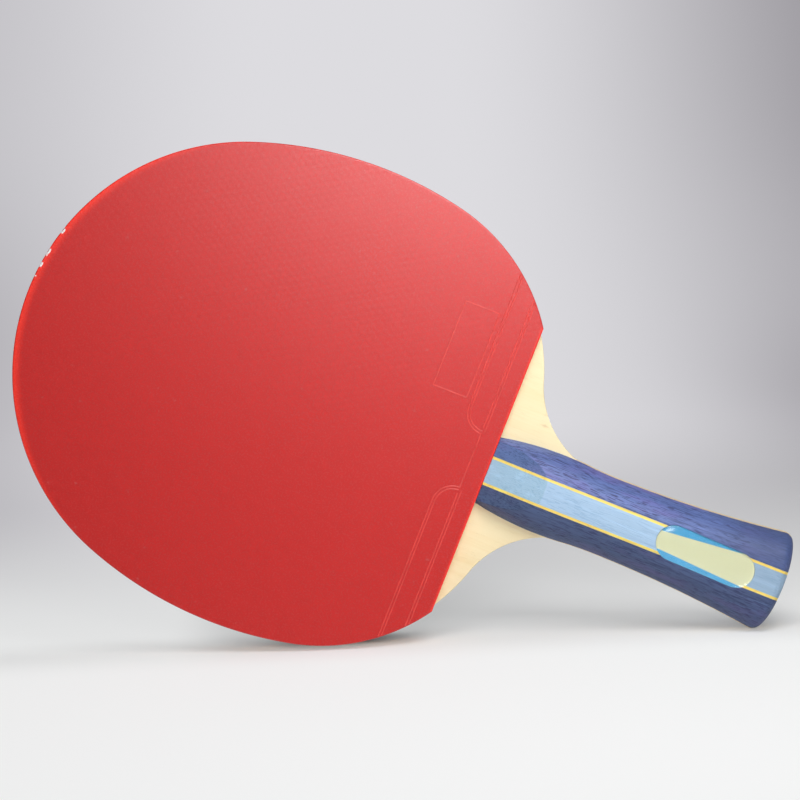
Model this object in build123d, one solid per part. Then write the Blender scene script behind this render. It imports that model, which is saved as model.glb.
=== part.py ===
from build123d import *
import math
import os

# Table tennis paddle with a flared handle, millimetres.
#
# The pieces are modelled with the paddle lying flat: X runs along the handle
# towards the butt, Y across the blade, Z out of the front face, and the middle
# of the core ply is Z = 0.  UPRIGHT then turns it on edge, as it stands on its
# rim: X along the handle, -Y out of the front face and +Z across the blade.
# The origin is the centre of the whole paddle.

# ---- Head: a chain of tangent arcs, the same on both sides of the handle line.
# Bearings turn from the tip towards the handle.  The rubber comes out 154.5 long
# and 152.1 wide.
tip_radius = 73.0
tip_turn = 70.0           # degrees of the tip arc, each side
side_radius = 124.0
side_turn = 32.3          # degrees of the flatter side arc
shoulder_radius = 61.0
shoulder_to_cut = 50.64   # centre of the shoulder arc to the rubber's straight cut
rubber_overhang = 1.0     # rubber proud of the wooden rim

# ---- Neck: where the blade narrows into the handle
shoulder_turn = 59.7      # degrees of the shoulder arc before the neck curls in
neck_radius = 30.0

# ---- Blade: five plies
core_thickness = 2.8
middle_ply_thickness = 0.9
face_ply_thickness = 0.6

# ---- Rubbers
sponge_thickness = 2.0
topsheet_thickness = 1.8

# ---- Handle: its side is a chain of arcs too, from the front end to the butt.
# It swells to 26.7 wide, narrows to a 25.0 waist and flares to 33.8 at the butt.
handle_length = 99.5      # rubber cut to butt
handle_thickness = 22.8
handle_round = 10.8       # radius of its rounded sides, nearly a half circle
front_width = 22.5
front_splay = 11.6        # degrees, side to handle line at the front end
swell_radius = 103.0
waist_slope = 5.2         # degrees, where the swell turns into the waist
waist_radius = 100.0
flare_radius = 415.0
butt_bow_radius = 60.0    # the butt end bows out across its width
butt_chamfer = 2.0
rubber_gap = 0.1          # rubber cut to the front end of the scales

# ---- Front end of the scales: a bevel milled down to the blade
bevel_length = 18.3
bevel_front_height = 3.0  # above the face ply

# ---- Inlay: each scale is five strips glued side by side
centre_strip_width = 7.8
line_width = 0.85

# ---- Badge: printed plate under a clear domed lens, in a pocket of the front scale
badge_length = 32.6
badge_width = 11.2
badge_from_butt = 26.5    # butt end to the middle of the badge
badge_skew = -1.5         # degrees off the handle line
pocket_depth = 0.9
pocket_clearance = 0.1    # round the badge
plate_thickness = 0.4
lens_thickness = 1.3
lens_rim_height = 0.6    # upright part of its edge, below the bevel
lens_bevel_width = 1.4


def bearing(degrees):
    """Unit vector at a bearing turned from the tip (-X) towards +Y."""
    turn = math.radians(degrees)
    return Vector(-math.cos(turn), math.sin(turn))


def arc_centres(tip_x):
    """Centres of the tip, side and shoulder arcs, each tangent to the last."""
    tip = Vector(tip_x + tip_radius, 0)
    side = tip + bearing(tip_turn) * (tip_radius - side_radius)
    shoulder = side + bearing(tip_turn + side_turn) * (side_radius - shoulder_radius)
    return tip, side, shoulder


# ---- Derived places
rubber_length = arc_centres(0)[2].X + shoulder_to_cut
total_length = rubber_length + handle_length
tip_x = -total_length / 2
cut_x = tip_x + rubber_length
butt_x = total_length / 2
scale_front_x = cut_x + rubber_gap
middle_ply_z = core_thickness / 2
face_ply_z = middle_ply_z + middle_ply_thickness
blade_face_z = face_ply_z + face_ply_thickness
topsheet_z = blade_face_z + sponge_thickness
crown_z = handle_thickness / 2
line_inner_y = centre_strip_width / 2
line_outer_y = line_inner_y + line_width
OVERSIZE = total_length   # reach of the cutting blocks

UPRIGHT = Rot(X=90)


def arc(centre, radius, start, end):
    """Arc about centre between two bearings; a negative radius is hollow."""
    return ThreePointArc(
        centre + bearing(start) * radius,
        centre + bearing((start + end) / 2) * radius,
        centre + bearing(end) * radius,
    )


def head_arcs(inset, shoulder_end):
    """Half outline from the tip to a bearing on the shoulder."""
    tip, side, shoulder = arc_centres(tip_x)
    side_end = tip_turn + side_turn
    return [
        arc(tip, tip_radius - inset, 0, tip_turn),
        arc(side, side_radius - inset, tip_turn, side_end),
        arc(shoulder, shoulder_radius - inset, side_end, shoulder_end),
    ]


def closed_outline(half):
    """Face between a half outline and its mirror image, with straight ends."""
    edges = half + [mirror(edge, about=Plane.XZ) for edge in half]
    for end in (half[0] @ 0, half[-1] @ 1):
        if end.Y > 0:
            edges.append(Line(end, (end.X, -end.Y)))
    return make_face(edges)


def rubber_outline():
    """Head outline cut straight across at the handle."""
    head = closed_outline(head_arcs(0, 180))
    keep = Pos(cut_x - OVERSIZE / 2, 0) * Rectangle(OVERSIZE, OVERSIZE)
    return head & keep


def blade_outline():
    """Wooden head with its neck, which ends inside the handle."""
    neck_start = tip_turn + side_turn + shoulder_turn
    shoulder = arc_centres(tip_x)[2]
    reach = shoulder_radius - rubber_overhang + neck_radius
    neck = arc(shoulder + bearing(neck_start) * reach, -neck_radius, neck_start, 90)
    return closed_outline(head_arcs(rubber_overhang, neck_start) + [neck])


def handle_side():
    """Half outline of the grip, from its front end to just past the butt."""
    front = Vector(scale_front_x, front_width / 2)
    swell_centre = front - bearing(90 - front_splay) * swell_radius
    turn = 90 + waist_slope
    waist_centre = swell_centre + bearing(turn) * (swell_radius + waist_radius)
    flare_centre = waist_centre + Vector(0, flare_radius - waist_radius)
    flare_run = butt_x + butt_chamfer - flare_centre.X
    flare_turn = math.degrees(math.asin(flare_run / flare_radius))
    return [
        arc(swell_centre, swell_radius, 90 - front_splay, turn),
        arc(waist_centre, -waist_radius, turn, 90),
        arc(flare_centre, -flare_radius, 90, 90 - flare_turn),
    ]


def handle_form():
    """The whole grip as one shaped block: round-sided, flared, with a bowed butt."""
    half = extrude(closed_outline(handle_side()), crown_z)
    top = half.faces().sort_by(Axis.Z)[-1]
    half = fillet(top.edges().filter_by(GeomType.CIRCLE), handle_round)
    block = half + mirror(half, about=Plane.XY)
    bow = Pos(butt_x - butt_bow_radius, 0) * Cylinder(butt_bow_radius, OVERSIZE)
    bow += Pos(butt_x - butt_bow_radius - OVERSIZE / 2, 0) * Box(OVERSIZE, OVERSIZE, OVERSIZE)
    block &= bow
    end_face = block.faces().sort_by(Axis.X)[-1]
    return chamfer(end_face.edges(), butt_chamfer)


def slab(bottom, top):
    """Everything between two heights."""
    return Pos(0, 0, (bottom + top) / 2) * Box(OVERSIZE, OVERSIZE, top - bottom)


def ply(grip, bottom, thickness):
    """One veneer of the blade: the head and the tongue that runs down the handle."""
    head = Pos(0, 0, bottom) * extrude(blade_outline(), thickness)
    tongue = grip & slab(bottom, bottom + thickness)
    return head + tongue


def sheet(bottom, thickness):
    """A flat layer with the rubber's outline."""
    return Pos(0, 0, bottom) * extrude(rubber_outline(), thickness)


def bevel_cutter():
    """Wedge over the front end of a scale, up to its crown."""
    front_z = blade_face_z + bevel_front_height
    back = scale_front_x + bevel_length
    slope = (crown_z - front_z) / bevel_length
    lead = rubber_gap / 2
    profile = make_face(
        Polyline(
            (scale_front_x - lead, front_z - slope * lead),
            (back, crown_z),
            (back, crown_z + slope * bevel_length),
            (scale_front_x - lead, crown_z + slope * bevel_length),
            close=True,
        )
    )
    return extrude(Plane.XZ.offset(-OVERSIZE / 2) * profile, OVERSIZE)


def scale(grip):
    """Grip block glued on the blade's face, bevelled at its front end."""
    return (grip & slab(blade_face_z, crown_z + pocket_depth)) - bevel_cutter()


def strip(block, inner, outer):
    """The part of a scale between two distances across the handle."""
    reach = outer - inner
    return block & (Pos(0, (inner + outer) / 2, 0) * Box(OVERSIZE, reach, OVERSIZE))


def inlay_strips(block):
    """A scale as its five glued strips, upper to lower."""
    edge = handle_length
    return {
        "upper_strip": strip(block, line_outer_y, edge),
        "upper_line": strip(block, line_inner_y, line_outer_y),
        "centre_strip": strip(block, -line_inner_y, line_inner_y),
        "lower_line": strip(block, -line_outer_y, -line_inner_y),
        "lower_strip": strip(block, -edge, -line_outer_y),
    }


def badge_place():
    return Pos(butt_x - badge_from_butt, 0, crown_z - pocket_depth) * Rot(Z=badge_skew)


def badge_pocket():
    """Flat-bottomed pocket milled through the crown of the front scale."""
    outline = SlotOverall(badge_length + 2 * pocket_clearance, badge_width + 2 * pocket_clearance)
    return badge_place() * extrude(outline, 2 * pocket_depth)


def badge_plate():
    return badge_place() * extrude(SlotOverall(badge_length, badge_width), plate_thickness)


def badge_lens():
    """Clear pad on the plate, low at its rim and bevelled up to its top."""
    pad = extrude(SlotOverall(badge_length, badge_width), lens_thickness)
    top = pad.faces().sort_by(Axis.Z)[-1]
    fall = lens_thickness - lens_rim_height
    pad = chamfer(top.edges(), lens_bevel_width, fall, reference=top)
    return badge_place() * Pos(0, 0, plate_thickness) * pad


def build():
    """All pieces by node name, lying flat."""
    grip = handle_form()
    pieces = {
        "core_ply": ply(grip, -core_thickness / 2, core_thickness),
        "front_middle_ply": ply(grip, middle_ply_z, middle_ply_thickness),
        "front_face_ply": ply(grip, face_ply_z, face_ply_thickness),
        "front_sponge": sheet(blade_face_z, sponge_thickness),
        "front_topsheet": sheet(topsheet_z, topsheet_thickness),
    }
    plain_scale = scale(grip)
    strips = inlay_strips(plain_scale)
    for name in ("middle_ply", "face_ply", "sponge", "topsheet"):
        pieces["back_" + name] = mirror(pieces["front_" + name], about=Plane.XY)
    for name, piece in strips.items():
        pieces["back_scale_" + name] = mirror(piece, about=Plane.XY)
    for name, piece in inlay_strips(plain_scale - badge_pocket()).items():
        pieces["front_scale_" + name] = piece
    pieces["badge_plate"] = badge_plate()
    pieces["badge_lens"] = badge_lens()
    return pieces


def main():
    os.makedirs("parts", exist_ok=True)
    for name, piece in build().items():
        export_step(UPRIGHT * piece, "parts/" + name + ".step")


main()
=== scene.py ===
"""Looks of a table tennis paddle: two rubbers on a plywood blade with a laminated flared grip.

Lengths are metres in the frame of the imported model.  Outlines and heights are worked out with the paddle
lying flat, x along the handle to the butt, y across the blade and z out of the front face, and place()
then stands them on edge.
"""

import math

import bmesh
import bpy
import numpy as np
from bpy.props import FloatProperty, FloatVectorProperty, PointerProperty
from mathutils import Matrix, Vector, noise


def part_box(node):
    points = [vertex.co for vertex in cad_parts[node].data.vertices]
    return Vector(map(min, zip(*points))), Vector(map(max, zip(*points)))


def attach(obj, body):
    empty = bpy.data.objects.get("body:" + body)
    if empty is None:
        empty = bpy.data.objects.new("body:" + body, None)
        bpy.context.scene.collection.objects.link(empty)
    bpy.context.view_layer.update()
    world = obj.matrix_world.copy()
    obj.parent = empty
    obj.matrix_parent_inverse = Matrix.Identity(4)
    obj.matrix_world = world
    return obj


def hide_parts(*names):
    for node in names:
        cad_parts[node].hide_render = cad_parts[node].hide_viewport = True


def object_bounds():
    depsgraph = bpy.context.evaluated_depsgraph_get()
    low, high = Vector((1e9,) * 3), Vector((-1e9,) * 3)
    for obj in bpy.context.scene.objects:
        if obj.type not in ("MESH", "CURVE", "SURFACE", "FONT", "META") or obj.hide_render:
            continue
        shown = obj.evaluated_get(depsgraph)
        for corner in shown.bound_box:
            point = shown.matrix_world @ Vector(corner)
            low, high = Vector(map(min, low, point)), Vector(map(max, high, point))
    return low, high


bl_info = {
    "name": "Table tennis paddle",
    "version": (1, 0, 0),
    "blender": (4, 5, 0),
    "location": "3D View > Sidebar > Paddle",
    "description": "Builds and finishes a flared table tennis paddle round its packed solids",
    "category": "Object",
}

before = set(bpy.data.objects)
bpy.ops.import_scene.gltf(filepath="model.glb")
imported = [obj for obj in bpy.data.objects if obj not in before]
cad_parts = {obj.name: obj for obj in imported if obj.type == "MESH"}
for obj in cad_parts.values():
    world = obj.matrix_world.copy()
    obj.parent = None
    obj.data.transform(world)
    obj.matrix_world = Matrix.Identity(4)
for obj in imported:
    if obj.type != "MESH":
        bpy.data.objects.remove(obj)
CAD_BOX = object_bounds()

TIP_X = CAD_BOX[0].x
BUTT_X = CAD_BOX[1].x
RUBBER_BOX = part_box("front_topsheet")
CUT_X = RUBBER_BOX[1].x
RUBBER_FACE = -RUBBER_BOX[0].y
SHEET_BACK = -RUBBER_BOX[1].y
BLADE_FACE = -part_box("front_face_ply")[0].y
FACE_PLY = -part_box("front_middle_ply")[0].y
MIDDLE_PLY = -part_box("core_ply")[0].y
SCALE_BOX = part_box("front_scale_centre_strip")
SCALE_X = SCALE_BOX[0].x
CROWN = -SCALE_BOX[0].y
LINE_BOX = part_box("front_scale_upper_line")
PLATE_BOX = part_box("badge_plate")
PLATE_MIDDLE = (PLATE_BOX[0] + PLATE_BOX[1]) / 2
LENS_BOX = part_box("badge_lens")


# ---- Sizes and colours


def colour_of(red, green, blue):
    """Linear colour of 8-bit screen values."""
    return tuple(
        v / 12.92 if v <= 0.04045 else ((v + 0.055) / 1.055) ** 2.4
        for v in (red / 255, green / 255, blue / 255)
    )


def toned(shade, *factors):
    """A colour times one factor, or times one for each channel."""
    return tuple(min(v * k, 1) for v, k in zip(shade, factors if len(factors) > 1 else factors * 3))


def setting(kind, **options):
    """Maker of one kind of setting, from its name, its description and its default."""

    def made(name, description, default):
        return kind(name=name, description=description, default=default, **options)

    return made


def angle(name, description, degrees):
    """An angle setting; only its default is given in degrees."""
    return FloatProperty(
        name=name, description=description, default=math.radians(degrees), unit="ROTATION"
    )


length = setting(FloatProperty, unit="LENGTH", precision=5)
two_lengths = setting(FloatVectorProperty, size=2, unit="LENGTH", precision=5)
number = setting(FloatProperty)
two_numbers = setting(FloatVectorProperty, size=2)
share = setting(FloatProperty, min=0, max=1, subtype="FACTOR")
power = setting(FloatProperty, min=0, unit="POWER")
colour = setting(FloatVectorProperty, size=3, min=0, max=1, subtype="COLOR")


class PaddleOutline(bpy.types.PropertyGroup):
    """Head and neck, a chain of tangent arcs on each side."""

    tip_radius: length("Tip radius", "Arc round the tip of the head", 0.073)
    tip_turn: angle("Tip turn", "Turn of the tip arc on each side", 70)
    side_radius: length("Side radius", "Flatter arc along the side of the head", 0.124)
    side_turn: angle("Side turn", "Turn of the side arc", 32.3)
    shoulder_radius: length("Shoulder radius", "Arc from the side to the neck", 0.061)
    shoulder_turn: angle("Shoulder turn", "Turn of the shoulder arc before the neck", 59.7)
    neck_radius: length("Neck radius", "Hollow arc from the shoulder into the grip", 0.03)
    overhang: length("Rubber overhang", "Rubber proud of the wooden rim", 0.001)
    edge_round: length("Blade edge round", "Sanded corner of the face veneers", 0.0003)


class PaddleRubber(bpy.types.PropertyGroup):
    """Topsheets with their pips, and the sponges."""

    skin: length("Skin thickness", "Solid part of the topsheet, above its pips", 0.0009)
    rim_round: length("Rim round", "Rounded upper edge of the topsheet", 0.00035)
    pip_radius: length("Pip radius", "Round pips under the skin", 0.00085)
    pip_pitch: length("Pip pitch", "Distance between neighbouring pips", 0.0023)
    pip_band: length("Pip band", "Width of the band along the rim where pips can be seen", 0.0042)
    sponge_hollow: length("Sponge hollow", "How far the cut edge of the sponge draws in", 0.00022)
    line_width: length("Moulded line width", "Raised lines of the blank frames", 0.00042)
    line_height: length("Moulded line height", "Raised lines of the blank frames", 0.0001)
    line_gap: length("Moulded line gap", "Between the two lines of a pair", 0.0009)
    near_line: length("Near line", "Straight cut to the nearer line of the frames", 0.0062)
    frame_end_radius: length("Frame end radius", "Rounded inner end of each frame", 0.0067)
    upper_frame_end: length("Upper frame end", "Handle line to where the upper frame rounds off", 0.0166)
    lower_frame_end: length("Lower frame end", "Handle line to where the lower frame rounds off", 0.0149)
    box_from_cut: two_lengths("Box from cut", "Far and near side of the blank box", (0.0258, 0.0145))
    box_from_middle: two_lengths("Box from middle", "Low and high side of the blank box", (0.0188, 0.047))
    red: colour("Red", "Front topsheet", colour_of(208, 39, 37))
    # The rim colours are a painted glow, light coming through the rubber's edge.
    red_rim: colour("Red rim", "Where light comes through the edge", colour_of(255, 56, 42))
    black: colour("Black", "Back topsheet", colour_of(30, 30, 32))
    black_rim: colour("Black rim", "Edge of the back topsheet", colour_of(38, 38, 40))
    # The moulding colours are paler than their faces as a painted highlight along the raised lines.
    red_moulding: colour("Red moulding", "Raised lines of the front face", colour_of(226, 73, 67))
    black_moulding: colour("Black moulding", "Raised lines of the back face", colour_of(52, 52, 55))
    chip: colour("Worn chips", "Where the tip of the rubber is chipped", colour_of(255, 248, 246))
    sponge: colour("Sponge", "Cut edge of the sponge", colour_of(236, 150, 84))
    red_roughness: share("Red roughness", "Gloss of the front face", 0.27)
    black_roughness: share("Black roughness", "Gloss of the back face", 0.3)


class PaddleBlade(bpy.types.PropertyGroup):
    """Veneers of the blade."""

    face: colour("Face veneer", "Pale outer veneer", colour_of(250, 234, 191))
    face_streak: colour("Face streak", "Darker fibres of the outer veneer", colour_of(243, 221, 168))
    middle: colour("Middle veneer", "Cross-grained veneer", colour_of(242, 208, 156))
    core: colour("Core", "Thick middle ply", colour_of(255, 234, 192))
    fleck: two_lengths("Fleck", "Its distance from the rubber's cut and the handle line", (0.0118, 0.0194))
    fleck_size: length("Fleck size", "Across the small fleck", 0.0009)
    fleck_colour: colour("Fleck colour", "Middle of the small fleck", colour_of(196, 156, 92))
    roughness: share("Wood roughness", "Sanded bare wood", 0.6)


class PaddleGrip(bpy.types.PropertyGroup):
    """Two bevelled scales, each of five glued strips."""

    round_radius: length("Side round", "Radius of the grip's rounded sides", 0.0108)
    front_width: length("Front width", "Across the front end", 0.0225)
    front_splay: angle("Front splay", "Side to handle line at the front end", 11.6)
    swell_radius: length("Swell radius", "Arc of the swell", 0.103)
    waist_slope: angle("Waist slope", "Where the swell turns into the waist", 5.2)
    waist_radius: length("Waist radius", "Hollow arc before the waist", 0.1)
    flare_radius: length("Flare radius", "Hollow arc out to the butt", 0.415)
    bow_radius: length("Butt bow radius", "The butt end bows out across its width", 0.06)
    butt_round: length("Butt edge round", "Sanded edge round the butt end", 0.0028)
    bevel_length: length("Bevel length", "Bevel at the front end of a scale", 0.0183)
    bevel_height: length("Bevel front height", "Front end of the bevel above the blade", 0.003)
    dark_blue: colour("Dark blue", "Lower outer strips", colour_of(70, 88, 128))
    # Painted light: the upper strips are the same dark blue wood as the lower ones, painted lighter where
    # the light from above falls on them.
    upper_blue: colour("Upper blue", "Upper outer strips, a lighter dye", colour_of(100, 120, 180))
    dark_pore: colour("Dark pores", "Stained pores of the outer strips", colour_of(34, 40, 84))
    light_blue: colour("Light blue", "Centre strip", colour_of(170, 200, 228))
    light_pore: colour("Light pores", "Stained pores of the centre strip", colour_of(128, 165, 202))
    yellow: colour("Yellow", "Thin lines", colour_of(248, 220, 110))
    yellow_pore: colour("Yellow pores", "Darker flecks of the thin lines", colour_of(214, 174, 84))
    roughness: share("Lacquer roughness", "Satin lacquer", 0.5)


class PaddleBadge(bpy.types.PropertyGroup):
    """Plain banded plate under a clear dome."""

    skew: angle("Skew", "Off the handle line", -1.5)
    pocket_depth: length("Pocket depth", "Below the crown of the scale", 0.0009)
    clearance: length("Pocket clearance", "Round the badge", 0.0001)
    lens_rim: length("Lens rim height", "Upright edge of the dome", 0.0006)
    cream: colour("Cream", "Middle of the plate", colour_of(186, 181, 147))
    band: colour("Band", "Bands along both long edges", colour_of(30, 130, 176))
    upper_band: two_numbers("Upper band", "Its depth at both ends in half widths", (0.62, -0.06))
    lower_band: two_numbers("Lower band", "Its depth at both ends in half widths", (0.4, 0.2))
    band_softness: number("Band softness", "Blur of the bands' edges in half widths", 0.03)


class PaddleStage(bpy.types.PropertyGroup):
    """Pale sweep, soft lamps and the camera."""

    lean: angle("Lean", "The paddle leans back from the camera", 7)
    paper: colour("Paper", "Sweep under the lamps", colour_of(246, 246, 246))
    floor: colour("Floor", "Sweep in front, as the camera sees it", colour_of(245, 246, 246))
    # The backdrop colours are painted shade: the same paper darkens behind and towards the sides as the
    # light falls off.
    backdrop: colour("Backdrop", "Sweep behind, as the camera sees it", colour_of(221, 220, 224))
    backdrop_side_shade: colour("Backdrop side", "Sweep far to the sides", colour_of(150, 147, 153))
    fade_right: two_lengths("Fade right", "Where the backdrop darkens to the right", (0.03, 0.28))
    fade_left: two_lengths("Fade left", "Where the backdrop darkens to the left", (-0.05, -0.25))
    fade_back: two_lengths("Fade back", "Where the floor turns into the backdrop", (0.0, 0.27))
    shine_back: two_lengths("Shine back", "Where the paper comes to shine evenly", (0.1, 0.42))
    room: colour("Room", "Past the sweep, as the camera sees it", colour_of(214, 213, 217))
    sky: colour("Sky", "Even light from all round", (0.96, 0.98, 1.0))
    sky_strength: share("Sky strength", "Even light from all round", 0.08)
    glow_beneath: share("Glow beneath", "Of the floor's own colour, the rest is lit paper", 0.22)
    glow_behind: share("Glow behind", "Added close behind the contact line", 0.28)
    glow_left: share("Glow left", "Added to the left of the head", 0.3)
    glow_front: share("Glow in front", "Of the floor's own colour, in front", 0.8)
    contact_shade: share("Contact shade", "Taken off the glow where the head stands", 0.85)
    key_power: power("Key lamp", "Soft lamp in front of the head", 1.95)
    side_power: power("Side lamp", "Small soft lamp near the grip", 0.83)
    top_power: power("Top lamp", "Soft lamp overhead", 0.6)
    lens: FloatProperty(name="Lens", description="Focal length", default=189.37, unit="CAMERA")


# ---- Shader arithmetic


class Wire:
    """An output socket of a material's nodes that takes part in Python arithmetic."""

    def __init__(self, finish, socket):
        self.finish = finish
        self.socket = socket

    def joined(self, operation, first, second):
        """A Math node, or a Vector Math node where either side is a vector."""
        wide = any(
            isinstance(v, (tuple, Vector)) or isinstance(v, Wire) and v.socket.type != "VALUE"
            for v in (first, second)
        )
        kind = "ShaderNodeVectorMath" if wide else "ShaderNodeMath"
        return self.finish.node(kind, {"operation": operation}, {0: first, 1: second})

    def __add__(self, other):
        return self.joined("ADD", self, other)

    def __radd__(self, other):
        return self.joined("ADD", other, self)

    def __sub__(self, other):
        return self.joined("SUBTRACT", self, other)

    def __rsub__(self, other):
        return self.joined("SUBTRACT", other, self)

    def __mul__(self, other):
        return self.joined("MULTIPLY", self, other)

    def __rmul__(self, other):
        return self.joined("MULTIPLY", other, self)

    def __truediv__(self, other):
        return self.joined("DIVIDE", self, other)

    def __rtruediv__(self, other):
        return self.joined("DIVIDE", other, self)

    def __abs__(self):
        return self.finish.node("ShaderNodeMath", {"operation": "ABSOLUTE"}, {0: self})


class Finish:
    """A material, or the world, whose nodes are written as expressions."""

    def __init__(self, name, world=False):
        self.owner = (bpy.data.worlds if world else bpy.data.materials).new(name)
        self.output = "ShaderNodeOutputWorld" if world else "ShaderNodeOutputMaterial"
        self.owner.use_nodes = True
        self.tree = self.owner.node_tree
        self.tree.nodes.clear()
        if not world:
            self.place = self.node("ShaderNodeTexCoord", output="Object")

    def node(self, kind, settings=None, inputs=None, output=0):
        """Adds a node, gives it its settings and then its sockets' values or links."""
        made = self.tree.nodes.new(kind)
        for key, value in (settings or {}).items():
            setattr(made, key, value)
        for key, value in (inputs or {}).items():
            socket = made.inputs[key]
            if isinstance(value, Wire):
                self.tree.links.new(value.socket, socket)
            elif isinstance(value, (tuple, Vector)) and socket.type == "RGBA" and len(value) == 3:
                socket.default_value = (*value, 1)
            else:
                socket.default_value = value
        return Wire(self, made.outputs[output]) if made.outputs else None

    def mix(self, first, second, amount):
        """Colour that goes from first to second as amount goes from 0 to 1."""
        settings = {"data_type": "RGBA", "clamp_factor": True}
        return self.node("ShaderNodeMix", settings, {0: amount, 6: first, 7: second}, output=2)

    def coated(self, shade, *coats):
        """A colour under coats, each a colour and how much of it shows."""
        for coat, amount in coats:
            shade = self.mix(shade, coat, amount)
        return shade

    def along(self, way, start=(0.0, 0.0, 0.0)):
        """Distance from a starting point along a direction."""
        away = self.place - tuple(start)
        return self.node(
            "ShaderNodeVectorMath", {"operation": "DOT_PRODUCT"}, {0: away, 1: tuple(way)}, output="Value"
        )

    def scaled_place(self, scale):
        """Place in lumps; scale is how many there are to a metre, in all or along each axis."""
        return self.place * (scale if isinstance(scale, tuple) else (scale,) * 3)

    def noise(self, scale, detail=2.0, roughness=0.5, offset=(0, 0, 0)):
        """Noise from 0 to 1."""
        where = self.scaled_place(scale) + tuple(offset)
        return self.node(
            "ShaderNodeTexNoise",
            inputs={"Vector": where, "Scale": 1.0, "Detail": detail, "Roughness": roughness},
        )

    def cells(self, scale):
        """Distance to the nearest of scattered points."""
        return self.node("ShaderNodeTexVoronoi", inputs={"Vector": self.scaled_place(scale), "Scale": 1.0})

    def ramp(self, value, low, high):
        """0 below low, 1 above high and smooth between."""
        return self.node(
            "ShaderNodeMapRange",
            {"interpolation_type": "SMOOTHSTEP"},
            {"Value": value, "From Min": low, "From Max": high},
        )

    def attribute(self, name):
        """A value that the mesh keeps at its corners."""
        return self.node("ShaderNodeAttribute", {"attribute_name": name}, output="Fac")

    def bump(self, height, distance, strength=1.0):
        """Normal of a surface raised by height, from 0 to 1, times distance."""
        return self.node(
            "ShaderNodeBump", inputs={"Height": height, "Distance": distance, "Strength": strength}
        )

    def surface(self, **sockets):
        """Principled surface; sockets are named with _ for spaces."""
        inputs = {key.replace("_", " "): value for key, value in sockets.items()}
        return self.node("ShaderNodeBsdfPrincipled", inputs=inputs)

    def done(self, surface):
        """The material or world, with the surface linked to its output."""
        self.node(self.output, inputs={"Surface": surface})
        return self.owner

    def principled(self, **sockets):
        """The material, with a principled surface of these sockets."""
        return self.done(self.surface(**sockets))


# ---- Mesh building


def place(x, y, z, side=1):
    """Point of the flat paddle stood on edge; side -1 turns it about the handle line to the back."""
    return Vector((x, -z * side, y * side))


def bearing(turn):
    """Unit vector at a bearing turned from the tip towards +y."""
    return Vector((-math.cos(turn), math.sin(turn)))


def steps(start, end, pieces):
    """Evenly spaced values from start to end, both ends included."""
    return [start + (end - start) * i / pieces for i in range(pieces + 1)]


def rounded_edge(top, radius, pieces):
    """Height and inset of the levels round an edge, up to its top."""
    return [
        (top - radius + radius * math.sin(t), radius * (1 - math.cos(t)))
        for t in steps(0, math.pi / 2, pieces)
    ]


def share_of(value, low, high):
    """Where a value stands between two others, 0 to 1."""
    return min(max((value - low) / (high - low), 0.0), 1.0)


def finished(mesh_object, finish, slot_name, *nodes, crease=35):
    """Gives a mesh its finish and shading, and ties it to the frame."""
    mesh = mesh_object.data
    mesh.materials.clear()
    mesh.materials.append(finish)
    mesh.shade_smooth()
    mesh.set_sharp_from_angle(angle=math.radians(crease))
    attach(mesh_object, "root")
    if nodes:
        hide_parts(*nodes)
    return mesh_object


def object_of(name, bm, outwards=True):
    """Scene object from a bmesh, with its faces turned outwards unless it is open."""
    if outwards:
        bmesh.ops.recalc_face_normals(bm, faces=bm.faces)
    mesh = bpy.data.meshes.new(name)
    bm.to_mesh(mesh)
    bm.free()
    made = bpy.data.objects.new(name, mesh)
    bpy.context.scene.collection.objects.link(made)
    return made


def join_rings(bm, low, high):
    """Faces between two rings of as many vertices."""
    for i in range(len(low)):
        j = (i + 1) % len(low)
        bm.faces.new((low[i], low[j], high[j], high[i]))


def stack_loops(bm, loops, close=True):
    """Side faces between closed loops with as many points each, and flat ends unless left open."""
    rows = [[bm.verts.new(p) for p in loop] for loop in loops]
    for low, high in zip(rows, rows[1:]):
        join_rings(bm, low, high)
    if close:
        bm.faces.new(rows[0][::-1])
        bm.faces.new(rows[-1])
    return rows


def cut_away(bm, point, normal):
    """Removes what lies beyond a plane and closes the cut."""
    cut = bmesh.ops.bisect_plane(
        bm,
        geom=bm.verts[:] + bm.edges[:] + bm.faces[:],
        dist=1e-8,
        plane_co=point,
        plane_no=normal,
        clear_outer=True,
    )
    edges = [e for e in cut["geom_cut"] if isinstance(e, bmesh.types.BMEdge) and e.is_boundary]
    if edges:
        bmesh.ops.holes_fill(bm, edges=edges, sides=0)


# ---- Outlines


def arc_centres(sizes):
    """Centres of the tip, side and shoulder arcs, each tangent to the last."""
    tip = Vector((TIP_X + sizes.tip_radius, 0))
    side = tip + bearing(sizes.tip_turn) * (sizes.tip_radius - sizes.side_radius)
    turned = bearing(sizes.tip_turn + sizes.side_turn)
    return tip, side, side + turned * (sizes.side_radius - sizes.shoulder_radius)


def head_points(sizes, inset, shoulder_end):
    """Half outline of the head from the tip to a bearing on the shoulder."""
    tip, side, shoulder = arc_centres(sizes)
    side_end = sizes.tip_turn + sizes.side_turn
    arcs = (
        (tip, sizes.tip_radius, 0, sizes.tip_turn, 160),
        (side, sizes.side_radius, sizes.tip_turn, side_end, 48),
        (shoulder, sizes.shoulder_radius, side_end, shoulder_end, 44),
    )
    points = []
    for centre, radius, start, end, pieces in arcs:
        arc = [centre + bearing(turn) * (radius - inset) for turn in steps(start, end, pieces)]
        points += arc[1:] if points else arc
    return points


def both_sides(half):
    """Closed loop of a half outline that starts on the handle line, and its mirror image."""
    mirrored = [Vector((p.x, -p.y)) for p in reversed(half) if abs(p.y) > 1e-9]
    return half + mirrored


def rubber_loop(sizes, inset):
    """Outline of a rubber, drawn in by inset all round."""
    shoulder = arc_centres(sizes)[2]
    reach = CUT_X - inset - shoulder.x
    end = math.acos(-reach / (sizes.shoulder_radius - inset))
    half = head_points(sizes, inset, end)
    corner = half[-1]
    across = [Vector((corner.x, y)) for y in steps(corner.y, 0, 24)[1:]]
    return both_sides(half + across)


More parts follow.
